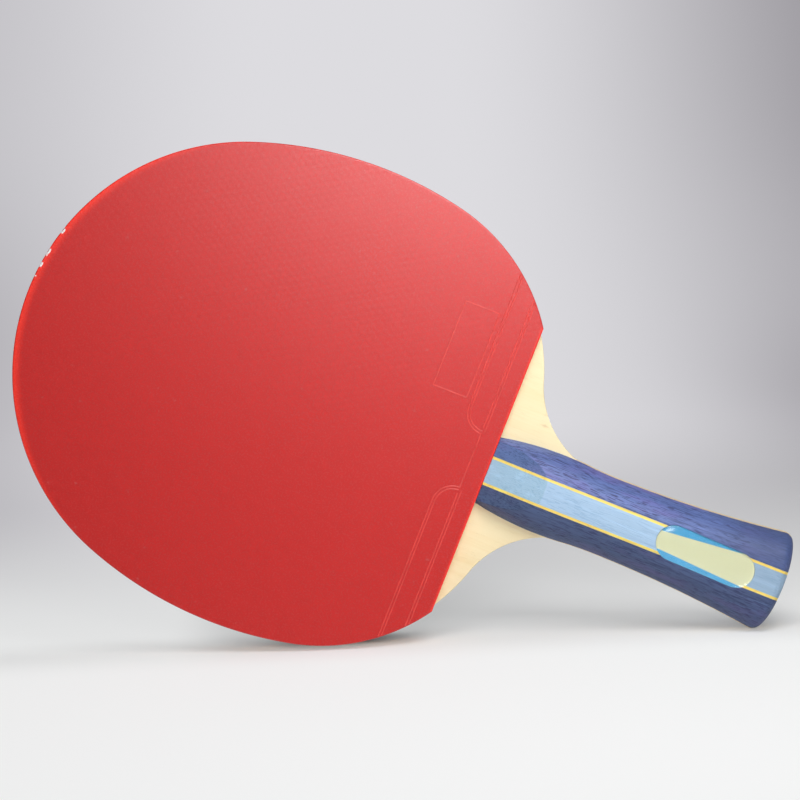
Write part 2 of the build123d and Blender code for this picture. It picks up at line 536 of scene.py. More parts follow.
class GripShape:
    """Half width, section and butt of the grip."""

    def __init__(self, sizes):
        self.sizes = sizes
        front = Vector((SCALE_X, sizes.front_width / 2))
        splay = math.pi / 2 - sizes.front_splay
        self.swell = front - bearing(splay) * sizes.swell_radius
        turned = bearing(math.pi / 2 + sizes.waist_slope)
        self.waist = self.swell + turned * (sizes.swell_radius + sizes.waist_radius)
        self.swell_end = self.swell.x + turned.x * sizes.swell_radius
        self.flare_y = self.waist.y + sizes.flare_radius - sizes.waist_radius

    def half_width(self, x):
        """Half the plan width at x."""
        if x < self.swell_end:
            return self.swell.y + math.sqrt(self.sizes.swell_radius**2 - (x - self.swell.x) ** 2)
        if x < self.waist.x:
            return self.waist.y - math.sqrt(self.sizes.waist_radius**2 - (x - self.waist.x) ** 2)
        return self.flare_y - math.sqrt(self.sizes.flare_radius**2 - (x - self.waist.x) ** 2)

    def flank(self, x, z, inset=0.0):
        """Distance of the side from the handle line at x and height z."""
        round_radius = self.sizes.round_radius
        rise = abs(z) - (CROWN - round_radius)
        width = self.half_width(x)
        if rise <= 0:
            return width - inset
        return width - round_radius + math.sqrt(max((round_radius - inset) ** 2 - rise**2, 0))

    def end(self, y):
        """x of the bowed butt end."""
        bow = self.sizes.bow_radius
        return BUTT_X - bow + math.sqrt(bow**2 - y**2)

    def rows(self, start, pieces):
        """Shares of the way from start to the butt's rounded edge, then round that edge."""
        turns = steps(0, math.pi / 2, 7)[1:]
        return [(u, 0.0) for u in steps(0, 1, pieces)] + [(1.0, turn) for turn in turns]

    def row_x(self, start, row, y):
        """x of a row where the distance from the handle line is y."""
        u, turn = row
        butt_round = self.sizes.butt_round
        return start + u * (self.end(y) - butt_round - start) + butt_round * math.sin(turn)

    def row_inset(self, row):
        """How far the section is drawn in on a row."""
        return self.sizes.butt_round * (1 - math.cos(row[1]))

    def on_row(self, start, row, z):
        """Point of the side on a row at height z, as x and y."""
        inset = self.row_inset(row)
        y = self.half_width(start)
        for _ in range(4):
            x = self.row_x(start, row, y)
            y = self.flank(x, z, inset)
        return Vector((x, y))


def blade_loop(outline, grip, z, inset):
    """Outline of a veneer at height z: head, neck and the tongue inside the grip."""
    neck_start = outline.tip_turn + outline.side_turn + outline.shoulder_turn
    shoulder = arc_centres(outline)[2]
    reach = outline.shoulder_radius - outline.overhang + outline.neck_radius
    neck = shoulder + bearing(neck_start) * reach
    radius = outline.neck_radius + inset

    def neck_point(turn):
        return neck - bearing(turn) * radius

    outside, inside = neck_start, math.pi / 2
    for _ in range(40):
        turn = (outside + inside) / 2
        point = neck_point(turn)
        if point.x < SCALE_X or point.y > grip.flank(point.x, z):
            outside = turn
        else:
            inside = turn
    half = head_points(outline, outline.overhang + inset, neck_start)
    half += [neck_point(turn) for turn in steps(neck_start, inside, 24)[1:]]
    start = half[-1].x
    tongue = [grip.on_row(start, row, z) for row in grip.rows(start, 60)[1:]]
    corner = tongue[-1]
    across = [Vector((grip.end(y), y)) for y in steps(corner.y, 0, 12)[1:]]
    return both_sides(half + tongue + across)


# ---- Finishes


def sanded_wood(name, base, streak, roughness, along="X", fleck=None):
    """Bare veneer with fine fibres, faint bands and short pores along the grain."""
    finish = Finish(name)

    def grain(long, fine, detail, offset=(0, 0, 0)):
        scale = (long, fine, fine) if along == "X" else (fine, fine, long)
        return finish.noise(scale, detail, offset=offset)

    bands = grain(16, 210, 3.0)
    fibres = grain(55, 1500, 3.0, (3, 1, 7))
    pores = finish.ramp(grain(300, 4200, 1.0, (9, 4, 2)), 0.66, 0.76)
    tone = finish.ramp(bands, 0.4, 0.8) * 0.5 + finish.ramp(fibres, 0.45, 0.75) * 0.3
    shade = finish.coated(base, (streak, tone), (toned(streak, 0.78), pores * 0.3))
    if fleck:
        spot, size, dark = fleck
        away = abs(finish.along((0.35, 0.0, 0.0), spot)) + abs(finish.along((0.0, 0.0, 1.0), spot))
        ragged = away + (fibres - 0.5) * size
        shade = finish.mix(shade, dark, finish.ramp(ragged, size, size * 0.1) * 0.4)
    return finish.principled(
        Base_Color=shade,
        Roughness=roughness + (fibres - 0.5) * 0.16,
        Normal=finish.bump(fibres * 0.6 - pores * 0.8, 0.00012, 0.5),
    )


def stained_wood(name, base, pore, sizes, pore_share, drift, bevel_shade, butt_shade):
    """Dyed and lacquered strip: streaks, fibres and dark dashes along the grain.

    The shares, 0 to 1, say how much shows of its pores, of the dye's drift in colour, of the painted
    shade on the bevel, and of the painted shade towards the butt end, where less light falls.
    """
    finish = Finish(name)
    streaks = finish.noise((26, 620, 620), 3.0)
    fibres = finish.noise((120, 2600, 2600), 2.0, offset=(5, 2, 8))
    dashes = finish.ramp(finish.noise((330, 3300, 3300), 1.0, offset=(1, 7, 3)), 0.52, 0.62)
    veins = finish.ramp(finish.noise((48, 1300, 1300), 2.0, offset=(6, 1, 5)), 0.56, 0.68)
    patches = finish.noise((55, 210, 210), 2.0, offset=(4, 4, 9))
    butt = finish.ramp(finish.along((1.0, 0.0, 0.0)), 0.092, 0.118)
    rise = CROWN - BLADE_FACE - sizes.bevel_height
    slant = math.hypot(rise, sizes.bevel_length)
    ahead = finish.along((-rise / slant, 0.0, 0.0), (SCALE_X, 0.0, 0.0))
    height = abs(finish.along((0.0, 1.0, 0.0))) - (BLADE_FACE + sizes.bevel_height)
    bevel = finish.ramp(ahead + height * (sizes.bevel_length / slant), -0.00015, -0.00003)
    shade = finish.coated(
        base,
        (toned(base, 1.3), finish.ramp(streaks, 0.5, 0.75) * 0.6),
        (pore, finish.ramp(streaks, 0.5, 0.25) * 0.3 * pore_share),
        (pore, finish.ramp(fibres, 0.45, 0.7) * 0.3 * pore_share),
        (pore, dashes * finish.ramp(patches, 0.25, 0.6) * pore_share),
        (pore, veins * 0.6 * pore_share),
        (toned(base, 1.5, 0.95, 1.1), finish.ramp(patches, 0.45, 0.75) * drift),
        # painted shade towards the butt end, where less light falls
        (toned(base, 0.5), butt * butt_shade),
        # painted shade on the bevel facet, which gets less light
        (toned(base, 0.55, 0.72, 0.62), bevel * bevel_shade),
    )
    return finish.principled(
        Base_Color=shade,
        Roughness=sizes.roughness + (fibres - 0.5) * 0.12 + dashes * 0.1 + bevel * 0.15,
        Normal=finish.bump(fibres * 0.35 - dashes * 0.7, 0.0001, 0.4),
    )


def smooth_rubber(name, base, rim, looks, roughness):
    """Satin topsheet: a painted glow at its edge, with a faint ghost of the pips below and pale worn
    chips.
    """
    finish = Finish(name)
    depth = finish.attribute("from_edge")
    worn = finish.attribute("worn")
    mottle = finish.noise(1500, 3.0, 0.6)
    cloud = finish.noise(22)
    dust = finish.ramp(finish.noise(620, 0.0, offset=(2, 6, 1)), 0.82, 0.85)
    pale_dust = tuple(v * 0.7 + 0.2 for v in base)
    shade = finish.coated(
        base,
        (toned(base, 0.76), finish.ramp(mottle, 0.35, 0.65) * 0.55),
        (toned(base, 0.93), finish.ramp(cloud, 0.4, 0.7) * 0.5),
        (pale_dust, dust * 0.25),
        # painted glow of light coming through the rim
        (rim, 1 - finish.ramp(depth, 0.05, 0.8)),
        (looks.chip[:], finish.ramp(worn, 0.3, 0.6)),
    )
    pips = pip_ghost(finish, looks.pip_pitch)
    grain = finish.noise(5200)
    return finish.principled(
        Base_Color=shade,
        Roughness=roughness + (mottle - 0.5) * 0.08 + worn * 0.3,
        Normal=finish.bump(grain * 0.3 + pips * 0.35 + mottle * 0.25, 0.00003),
    )


def pip_ghost(finish, pitch):
    """Height from 0 to 1 of the hexagonal swell that the pips leave in the face."""
    wave = 2 * math.pi / (pitch * math.sqrt(3) / 2)
    total = 0.0
    for turn in (0, math.pi / 3, 2 * math.pi / 3):
        phase = finish.along((wave * math.cos(turn), 0.0, wave * math.sin(turn)), (CUT_X, 0.0, 0.0))
        total = finish.node("ShaderNodeMath", {"operation": "COSINE"}, {0: phase}) + total
    return total / 6 + 0.5


def moulded_line_with_highlight(name, base, roughness):
    """Raised line of a topsheet, painted paler than the face round it as a highlight along its ridge, and
    unevenly rubbed.
    """
    finish = Finish(name)
    rubbed = finish.noise(300)
    shade = finish.mix(base, toned(base, 0.8), finish.ramp(rubbed, 0.4, 0.75))
    return finish.principled(Base_Color=shade, Roughness=roughness + rubbed * 0.1)


def cut_sponge(name, base):
    """Open-celled foam with fine pores and a few larger ones, the pores painted darker as the shade inside
    them.
    """
    finish = Finish(name)
    fine = finish.ramp(finish.cells(3400), 0.42, 0.2)
    pores = fine * 0.7 + finish.ramp(finish.cells(1500), 0.26, 0.14)
    patches = finish.noise(90) * 0.5
    return finish.principled(
        # painted shade in the pores
        Base_Color=finish.coated(base, (toned(base, 0.45), pores), (toned(base, 1.2), patches)),
        Roughness=0.85 + pores * 0.1,
        Normal=finish.bump(1 - pores, 0.00018, 0.8),
    )


def banded_print(name, looks):
    """Cream film with a sky-blue band along each long edge, both tapering towards the butt."""
    finish = Finish(name)
    half_length, half_width = badge_half_sizes(looks)
    cos, sin = math.cos(looks.skew), math.sin(looks.skew)
    along = finish.along((cos, 0.0, sin), PLATE_MIDDLE) / half_length
    across = finish.along((-sin, 0.0, cos), PLATE_MIDDLE) / half_width
    upper, lower = (
        start + (along + 1) * ((end - start) / 2) for start, end in (looks.upper_band, looks.lower_band)
    )
    soft = looks.band_softness
    top = finish.ramp(across - (1 - upper), -soft, soft)
    bottom = finish.ramp(-1 + lower - across, -soft, soft)
    grainy = finish.noise(2600)
    fading = finish.ramp(finish.noise(240, offset=(3, 3, 3)), 0.3, 0.8)
    band = finish.mix(looks.band[:], toned(looks.band, 0.8), fading * 0.6)
    cream = finish.mix(looks.cream[:], toned(looks.cream, 0.93), grainy * 0.5)
    shade = finish.coated(cream, (band, top), (band, bottom))
    return finish.principled(Base_Color=shade, Roughness=0.45 + grainy * 0.12)


def clear_resin(name):
    """Clear domed resin that lets the lamps through to the plate below."""
    finish = Finish(name)
    tint = (0.96, 0.99, 0.98)
    ripple = finish.noise(160, 1.0)
    glass = finish.surface(
        Base_Color=tint,
        Roughness=0.12 + ripple * 0.05,
        IOR=1.45,
        Specular_IOR_Level=0.2,
        Transmission_Weight=1.0,
        Normal=finish.bump(ripple, 0.00008, 0.3),
    )
    open_way = finish.node("ShaderNodeBsdfTransparent", inputs={"Color": tint})
    shadow_ray = finish.node("ShaderNodeLightPath", output="Is Shadow Ray")
    return finish.done(finish.node("ShaderNodeMixShader", inputs={0: shadow_ray, 1: glass, 2: open_way}))


# ---- Pieces


def ply_object(name, outline, grip, levels):
    """One veneer from loops at (height, inset) levels."""
    bm = bmesh.new()
    loops = [
        [place(p.x, p.y, z) for p in blade_loop(outline, grip, z, inset)] for z, inset in levels
    ]
    stack_loops(bm, loops)
    return object_of(name, bm)


class PADDLE_OT_blade(bpy.types.Operator):
    """Builds the five plies with their tongue down the grip"""

    bl_idname = "paddle.blade"
    bl_label = "Blade"

    def execute(self, context):
        outline = context.scene.paddle_outline
        looks = context.scene.paddle_blade
        grip = GripShape(context.scene.paddle_grip)
        roughness = looks.roughness
        core = sanded_wood("core wood", looks.core[:], toned(looks.core, 0.8), roughness)
        middle = sanded_wood(
            "middle veneer wood", looks.middle[:], toned(looks.middle, 0.85), roughness, along="Z"
        )
        spot = place(CUT_X + looks.fleck[0], looks.fleck[1], BLADE_FACE)
        fleck = (spot, looks.fleck_size, looks.fleck_colour[:])
        face = sanded_wood(
            "face veneer wood", looks.face[:], looks.face_streak[:], roughness, fleck=fleck
        )
        rounded = rounded_edge(BLADE_FACE, outline.edge_round, 4)
        for side, nodes in ((1, "front"), (-1, "back")):
            levels = [(FACE_PLY * side, 0.0)] + [(z * side, inset) for z, inset in rounded]
            ply = ply_object(nodes + "_face_veneer", outline, grip, levels)
            finished(ply, face, "face_veneer", nodes + "_face_ply")
            levels = [(MIDDLE_PLY * side, 0.0), (FACE_PLY * side, 0.0)]
            ply = ply_object(nodes + "_middle_veneer", outline, grip, levels)
            finished(ply, middle, "middle_veneer", nodes + "_middle_ply")
        ply = ply_object("core_wood", outline, grip, [(-MIDDLE_PLY, 0.0), (MIDDLE_PLY, 0.0)])
        finished(ply, core, "core_wood", "core_ply")
        return {"FINISHED"}


class PADDLE_OT_sponges(bpy.types.Operator):
    """Builds the two sponges with their knife-cut edges"""

    bl_idname = "paddle.sponges"
    bl_label = "Sponges"

    def execute(self, context):
        outline = context.scene.paddle_outline
        looks = context.scene.paddle_rubber
        finish = cut_sponge("sponge", looks.sponge[:])
        glue_gap = 0.00004
        stray, lumps = 0.00006, 260  # of the knife, and how often to a metre
        centre_x = -0.02  # the edge strays towards here
        for side, nodes in ((1, "front"), (-1, "back")):
            bm = bmesh.new()
            loops = []
            for level in steps(0, 1, 8):
                z = BLADE_FACE + level * (SHEET_BACK - BLADE_FACE)
                inset = looks.sponge_hollow * math.sin(math.pi * level) ** 0.6
                loop = []
                for p in rubber_loop(outline, inset + glue_gap):
                    wander = abs(noise.noise(Vector((p.x, p.y, z * 3 + side)) * lumps)) * stray
                    out = Vector((p.x - centre_x, p.y)).normalized()
                    loop.append(place(p.x - out.x * wander, p.y - out.y * wander, z, side))
                loops.append(loop)
            stack_loops(bm, loops)
            finished(object_of(nodes + "_sponge_layer", bm), finish, "sponge", nodes + "_sponge")
        return {"FINISHED"}


HEAD_MIDDLE = 0.08  # from the straight cut to about the middle of the head
# Width and strength of the rim's painted glow at the straight cut, along the sides and at the tip
CUT_GLOW = (0.0016, 0.8)
SIDE_GLOW = (0.0014, 0.3)
TIP_GLOW = (0.004, 1.0)
PIPS_PAST_GLOW = 0.35  # the pips are partly as pale as the rim
# Chips in the tip of the front rubber: bearing and spread in degrees, and depth
CHIPS = ((16.9, 1.2, 0.0006), (10.4, 2.2, 0.0005), (7.0, 1.1, 0.0005), (3.8, 0.6, 0.0003))


def chipping(point, sizes):
    """How deep the tip of the front rubber is chipped at a point of its outline."""
    centre = arc_centres(sizes)[0]
    turn = math.degrees(math.atan2(point.y, centre.x - point.x))
    depth = 0.0
    for at, spread, most in CHIPS:
        jag = 0.6 + 0.4 * noise.noise(Vector((turn * 3.1, at, 0)))
        depth = max(depth, most * jag * math.exp(-(((turn - at) / spread) ** 2) * 2))
    return depth


def past_glow(at, inset):
    """How far a point of a topsheet is out of its painted rim glow, 0 to 1: the glow is strongest at the
    tip.
    """
    if CUT_X - at.x < inset + 0.00001:
        band, strength = CUT_GLOW
    else:
        out = Vector((CUT_X - HEAD_MIDDLE - at.x, at.z))
        tipwards = share_of(out.x / out.length, 0.3, 0.9)
        band, strength = (a + (b - a) * tipwards for a, b in zip(SIDE_GLOW, TIP_GLOW))
    return 1.0 - max(1.0 - inset / band, 0.0) * strength


def topsheet_skin(bm, sizes, looks, side):
    """Smooth skin with a rounded rim, as rings drawn in from the edge; the front one is chipped."""
    bottom = RUBBER_FACE - looks.skin
    levels = [(bottom, 0.0006), (bottom, 0.0), (bottom + 0.00015, 0.0)]
    levels += rounded_edge(RUBBER_FACE, looks.rim_round, 5)
    levels += [(RUBBER_FACE, inset) for inset in (0.0006, 0.001, 0.0015, 0.002, 0.0026, 0.004)]
    from_edge = bm.verts.layers.float.new("from_edge")
    worn = bm.verts.layers.float.new("worn")
    rim = rubber_loop(sizes, 0.0)
    chips = [chipping(p, sizes) if side == 1 else 0.0 for p in rim]
    centre = Vector((CUT_X - HEAD_MIDDLE, 0))
    loops = []
    for z, inset in levels:
        loop = []
        for p, chip in zip(rubber_loop(sizes, inset), chips):
            into = (centre - p).normalized() * max(chip - inset, 0) * 0.5
            low = max(chip - inset, 0) * 0.55 if z > bottom + 0.0003 else 0.0
            loop.append(place(p.x + into.x, p.y + into.y, z - low, side))
        loops.append(loop)
    rows = stack_loops(bm, loops)
    for (z, inset), row in zip(levels, rows):
        for vert, chip in zip(row, chips):
            vert[from_edge] = past_glow(vert.co, inset) if z > bottom else 0.0
            vert[worn] = share_of(chip, 0.00005, 0.0003) if inset < 0.0007 and z > bottom else 0.0
    return from_edge


def clipped(polygon, point, normal):
    """Part of a convex polygon on the inner side of a line."""
    kept = []
    for a, b in zip(polygon, polygon[1:] + polygon[:1]):
        da, db = (a - point).dot(normal), (b - point).dot(normal)
        if da <= 0:
            kept.append(a)
        if (da < 0) != (db < 0) and abs(da - db) > 1e-12:
            kept.append(a + (b - a) * (da / (da - db)))
    return kept


def add_pips(bm, sizes, looks, side, from_edge):
    """Rows of round pips along the rim, cut flush with it."""
    drawn_in = 0.00003
    rim = rubber_loop(sizes, drawn_in)
    edges = [(a, b) for a, b in zip(rim, rim[1:] + rim[:1]) if (b - a).length > 1e-9]
    starts = np.array([a[:] for a, _ in edges])
    runs = np.array([(b - a)[:] for a, b in edges])
    normals = np.stack([-runs[:, 1], runs[:, 0]], 1)
    normals /= np.linalg.norm(normals, axis=1)[:, None]
    middle = np.array([CUT_X - HEAD_MIDDLE, 0.0])
    normals *= np.sign(((starts - middle) * normals).sum(1))[:, None]
    pitch, radius = looks.pip_pitch, looks.pip_radius
    rows = int((CUT_X - TIP_X) / (pitch * math.sqrt(3) / 2)) + 1
    past_side = 0.08  # from the handle line to beyond the rim
    columns = int(past_side / pitch) + 1
    first_row = 0.0016  # from the straight cut
    for row in range(rows):
        x = CUT_X - first_row - row * pitch * math.sqrt(3) / 2
        for column in range(-columns, columns + 1):
            y = (column + 0.5 * (row % 2)) * pitch
            inward = -((np.array([x, y]) - starts) * normals).sum(1)
            if not -radius * 0.7 <= inward.min() <= looks.pip_band:
                continue
            pip = [
                Vector((x, y)) + radius * Vector((math.cos(t), math.sin(t)))
                for t in steps(0, 2 * math.pi, 14)[:-1]
            ]
            for k in np.flatnonzero(inward < radius):
                pip = clipped(pip, Vector(starts[k]), Vector(normals[k]))
                if len(pip) < 3:
                    break
            if len(pip) < 3:
                continue
            heights = (SHEET_BACK, RUBBER_FACE - looks.skin)
            ends = [[place(p.x, p.y, z, side) for p in pip] for z in heights]
            for verts in stack_loops(bm, ends):
                for vert in verts:
                    vert[from_edge] = PIPS_PAST_GLOW


# Across and up a moulded line, in its widths and heights
BEAD = ((-0.5, -0.35), (-0.5, 0.0), (-0.32, 0.7), (0.0, 1.0), (0.32, 0.7), (0.5, 0.0), (0.5, -0.35))


def bead(bm, path, looks, side, closed):
    """Raised moulded line with a rounded top along a path on the face."""
    width, height = looks.line_width, looks.line_height
    loops = []
    for i, p in enumerate(path):
        before = path[i - 1] if i or closed else p
        after = path[(i + 1) % len(path)] if i < len(path) - 1 or closed else p
        way_in = (p - before).normalized() if (p - before).length else (after - p).normalized()
        way_out = (after - p).normalized() if (after - p).length else way_in
        way = (way_in + way_out).normalized()
        across = Vector((-way.y, way.x)) / max(math.sqrt(max((1 + way_in.dot(way_out)) / 2, 0)), 0.6)
        loop = []
        for aside, rise in BEAD:
            x, y = (p[axis] + across[axis] * aside * width for axis in (0, 1))
            loop.append(place(x, y, RUBBER_FACE + rise * height, side))
        loops.append(loop)
    rows = stack_loops(bm, loops, close=not closed)
    if closed:
        join_rings(bm, rows[-1], rows[0])


def frame_paths(sizes, looks):
    """Blank moulded frames beside the straight cut: (path, closed) in flat coordinates."""

    def rim_point(from_cut, way):
        """Where a line across the blade meets the rim."""
        shoulder = arc_centres(sizes)[2]
        run = CUT_X - from_cut - shoulder.x
        reach = sizes.shoulder_radius - looks.rim_round
        return Vector((CUT_X - from_cut, (shoulder.y + math.sqrt(reach**2 - run**2)) * way))

    def end_arc(radius, from_middle, way):
        """Quarter circle from the far line of a frame round to its near line."""
        centre = Vector((CUT_X - looks.near_line, from_middle * way))
        return [
            centre - Vector((math.cos(turn), math.sin(turn) * way)) * radius
            for turn in steps(0, math.pi / 2, 14)
        ]

    gap = looks.line_gap
    paths = []
    arcs = []
    for way, from_middle in ((1, looks.upper_frame_end), (-1, looks.lower_frame_end)):
        outer = end_arc(looks.frame_end_radius, from_middle, way)
        inner = end_arc(looks.frame_end_radius - gap, from_middle, way)
        far = looks.near_line + looks.frame_end_radius
        arcs.append([rim_point(far, way)] + outer)
        paths.append(([rim_point(far - gap, way)] + inner, False))
        start = inner[-1] + Vector((0, gap * way))
        paths.append(([start, rim_point(looks.near_line, way)], False))
        start = outer[-1] + Vector((gap, gap * way))
        paths.append(([start, rim_point(looks.near_line - gap, way)], False))
    paths.append((arcs[0] + arcs[1][::-1], False))
    left, right = (CUT_X - far for far in looks.box_from_cut)
    low, high = looks.box_from_middle
    box = [Vector((left, high)), Vector((right, high)), Vector((right, low)), Vector((left, low))]
    paths.append((box, True))
    return paths


class PADDLE_OT_topsheets(bpy.types.Operator):
    """Builds the red and black topsheets with their pips and moulded frames"""

    bl_idname = "paddle.topsheets"
    bl_label = "Topsheets"

    def execute(self, context):
        outline = context.scene.paddle_outline
        looks = context.scene.paddle_rubber
        for side, nodes, tint in ((1, "front", "red"), (-1, "back", "black")):
            base, rim, moulding, roughness = (
                getattr(looks, tint + part) for part in ("", "_rim", "_moulding", "_roughness")
            )
            finish = smooth_rubber(tint + " rubber", base[:], rim[:], looks, roughness)
            bm = bmesh.new()
            from_edge = topsheet_skin(bm, outline, looks, side)
            add_pips(bm, outline, looks, side, from_edge)
            sheet = object_of(nodes + "_rubber_skin", bm)
            finished(sheet, finish, tint + "_rubber", nodes + "_topsheet")
            bm = bmesh.new()
            for path, closed in frame_paths(outline, looks):
                bead(bm, path, looks, side, closed)
            # the lines' paler colour is a painted highlight
            raised = moulded_line_with_highlight(nodes + " moulding", moulding[:], roughness)
            finished(object_of(nodes + "_moulded_frames", bm), raised, tint + "_rubber")
        return {"FINISHED"}


def grip_block(grip):
    """The whole grip as one closed round-sided block."""
    sizes = grip.sizes
    round_radius = sizes.round_radius
    flat = CROWN - round_radius
    loops = []
    for row in grip.rows(SCALE_X, 84):
        bend = round_radius - grip.row_inset(row)
        quarter = [(grip.on_row(SCALE_X, row, z), z) for z in (0.0, flat)]
        for turn in steps(0, math.pi / 2, 22)[1:]:
            y = grip.half_width(SCALE_X)
            for _ in range(4):
                x = grip.row_x(SCALE_X, row, y)
                y = grip.half_width(x) - round_radius + bend * math.cos(turn)
            quarter.append((Vector((x, y)), flat + bend * math.sin(turn)))
        last, top = quarter[-1]
        for y in (last.y * 0.5, 0.0):
            quarter.append((Vector((grip.row_x(SCALE_X, row, y), y)), top))
        loop = quarter + [(Vector((p.x, -p.y)), z) for p, z in quarter[-2::-1]]
        loop += [(p, -z) for p, z in loop[-2:0:-1]]
        loops.append([place(p.x, p.y, z) for p, z in loop])
    bm = bmesh.new()
    rows = stack_loops(bm, loops, close=False)
    for row in (rows[0], rows[-1]):
        for i in range(len(row) // 2):
            corners = list(dict.fromkeys((row[i], row[i + 1], row[-i - 1], row[-i])))
            if len(corners) > 2:
                bm.faces.new(corners)
    bmesh.ops.recalc_face_normals(bm, faces=bm.faces)
    return bm


def badge_half_sizes(looks):
    """Half length and half width of the badge, from its box."""
    low, high = PLATE_BOX
    reach_x, reach_y = (high.x - low.x) / 2, (high.z - low.z) / 2
    cos, sin = math.cos(looks.skew), abs(math.sin(looks.skew))
    run = (reach_x - reach_y) / (cos - sin)
    radius = reach_x - run * cos
    return run + radius, radius


def badge_ring(looks, grow, z):
    """Outline of the badge with its round ends, grown outwards by grow, at height z."""
    half_length, half_width = badge_half_sizes(looks)
    run = half_length - half_width
    radius = half_width + grow
    cos, sin = math.cos(looks.skew), math.sin(looks.skew)
    ring = []
    for end, start in ((run, -math.pi / 2), (-run, math.pi / 2)):
        for t in steps(0, math.pi, 20):
            p = Vector((end + radius * math.cos(start + t), radius * math.sin(start + t)))
            x = PLATE_MIDDLE.x + p.x * cos - p.y * sin
            y = PLATE_MIDDLE.z + p.x * sin + p.y * cos
            ring.append(place(x, y, z))
    return ring


def hollow_out(made, cutter):
    """Cuts one object out of another's mesh."""
    hollow = made.modifiers.new(cutter.name, "BOOLEAN")
    hollow.object = cutter
    hollow.operation = "DIFFERENCE"
    hollow.solver = "EXACT"
    depsgraph = bpy.context.evaluated_depsgraph_get()
    plain = made.data
    made.data = bpy.data.meshes.new_from_object(made.evaluated_get(depsgraph))
    made.modifiers.clear()
    bpy.data.meshes.remove(plain)
    made.data.name = made.name


class PADDLE_OT_grip(bpy.types.Operator):
    """Builds the two bevelled scales as five strips each, with the badge's pocket"""

    bl_idname = "paddle.grip"
    bl_label = "Grip"

    def execute(self, context):
        looks = context.scene.paddle_grip
        badge = context.scene.paddle_badge
        grip = GripShape(looks)
        line_low, line_high = LINE_BOX[0].z, LINE_BOX[1].z
        dark, upper, light, yellow = (
            stained_wood(name, base[:], pore[:], looks, *amounts)
            for name, base, pore, *amounts in (
                # Each strip: name, colour, pores, then shares of pores, colour drift, painted bevel shade
                # and painted butt shade
                ("dark blue wood", looks.dark_blue, looks.dark_pore, 0.9, 0.7, 0.3, 0.0),
                # painted light: the upper strips' lighter blue stands in for light from above
                ("upper blue wood", looks.upper_blue, looks.dark_pore, 0.9, 0.7, 0.5, 0.8),
                ("light blue wood", looks.light_blue, looks.light_pore, 0.35, 0.0, 0.3, 0.45),
                ("yellow wood", looks.yellow, looks.yellow_pore, 0.4, 0.0, 0.1, 0.0),
            )
        )
        reach = 0.05  # past the grip's sides
        strips = {
            "upper_strip": (line_high, reach, upper, "dark_blue_wood"),
            "upper_line": (line_low, line_high, yellow, "yellow_wood"),
            "centre_strip": (-line_low, line_low, light, "light_blue_wood"),
            "lower_line": (-line_high, -line_low, yellow, "yellow_wood"),
            "lower_strip": (-reach, -line_high, dark, "dark_blue_wood"),
        }
        bm = bmesh.new()
        heights = (CROWN - badge.pocket_depth, CROWN + 0.002)
        stack_loops(bm, [badge_ring(badge, badge.clearance, z) for z in heights])
        pocket = object_of("pocket_cutter", bm)
        block = grip_block(grip)
        for side, nodes in ((1, "front"), (-1, "back")):
            scale = block.copy()
            cut_away(scale, place(0, 0, BLADE_FACE * side), place(0, 0, -side))
            front = place(SCALE_X, 0, (BLADE_FACE + looks.bevel_height) * side)
            slope = CROWN - BLADE_FACE - looks.bevel_height
            cut_away(scale, front, place(-slope, 0, looks.bevel_length * side))
            for name, (inner, outer, finish, slot_name) in strips.items():
                bm = scale.copy()
                cut_away(bm, place(0, inner, 0), place(0, -1, 0))
                cut_away(bm, place(0, outer, 0), place(0, 1, 0))
                made = object_of(nodes + "_grip_" + name, bm)
                if side == 1:
                    hollow_out(made, pocket)
                finished(made, finish, slot_name, nodes + "_scale_" + name, crease=28)
            scale.free()
        block.free()
        bpy.data.objects.remove(pocket)
        return {"FINISHED"}


class PADDLE_OT_badge(bpy.types.Operator):
    """Finishes the plain banded plate and builds the clear dome over it"""

    bl_idname = "paddle.badge"
    bl_label = "Badge"

    def execute(self, context):
        looks = context.scene.paddle_badge
        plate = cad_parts["badge_plate"]
        plate.data.materials.clear()
        plate.data.materials.append(banded_print("banded film", looks))
        glue_gap = 0.00002
        bottom, top = -LENS_BOX[1].y + glue_gap, -LENS_BOX[0].y
        rim = bottom + looks.lens_rim
        half_width = badge_half_sizes(looks)[1]
        loops = [
            badge_ring(looks, -0.0003, bottom),
            badge_ring(looks, -0.00005, bottom),
            badge_ring(looks, 0.0, bottom + looks.lens_rim * 0.5),
        ]
        for turn in steps(0, math.radians(88), 24):
            z = rim + (top - rim) * math.sin(turn) ** 0.8
            loops.append(badge_ring(looks, -half_width * (1 - math.cos(turn)), z))
        bm = bmesh.new()
        stack_loops(bm, loops)
        dome = object_of("badge_dome", bm)
        finished(dome, clear_resin("clear resin"), "clear_resin", "badge_lens", crease=70)
        return {"FINISHED"}


# ---- Stage


# Where the camera stands, and which way its right, up and back point
CAMERA_PLACE = (-0.03306, -1.32345, 0.04964)
CAMERA_TURN = (
    (0.93042, -0.00811, 0.36641),
    (-0.36594, 0.03513, 0.92998),
    (-0.02042, -0.99935, 0.02972),
)
# Right of, in front of and above the paddle's middle, and the lamp's size
LAMPS = {
    "key": (0.07, 0.85, 0.3, 0.2),
    "side": (0.11, 0.2, 0.24, 0.18),
    "top": (0.0, 0.45, 0.8, 0.6),
}


def shown_points(*names):
    """Corners of finished meshes as an array."""
    return np.array([v.co[:] for name in names for v in bpy.data.objects[name].data.vertices])


def resting_plane(lean):
    """Upward normal and lowest reach of the plane that the head and the butt stand on."""
    head = shown_points("front_rubber_skin", "back_rubber_skin")
    grip = shown_points("front_grip_lower_strip", "back_grip_lower_strip", "core_wood")
    low, high = 0.0, math.radians(60)
    for _ in range(40):
        roll = (low + high) / 2
        up = np.array([-math.sin(roll), -math.tan(lean), math.cos(roll)])
        up /= np.linalg.norm(up)
        if (grip @ up).min() > (head @ up).min():
            low = roll
        else:
            high = roll
    return Vector(up), float((head @ up).min())


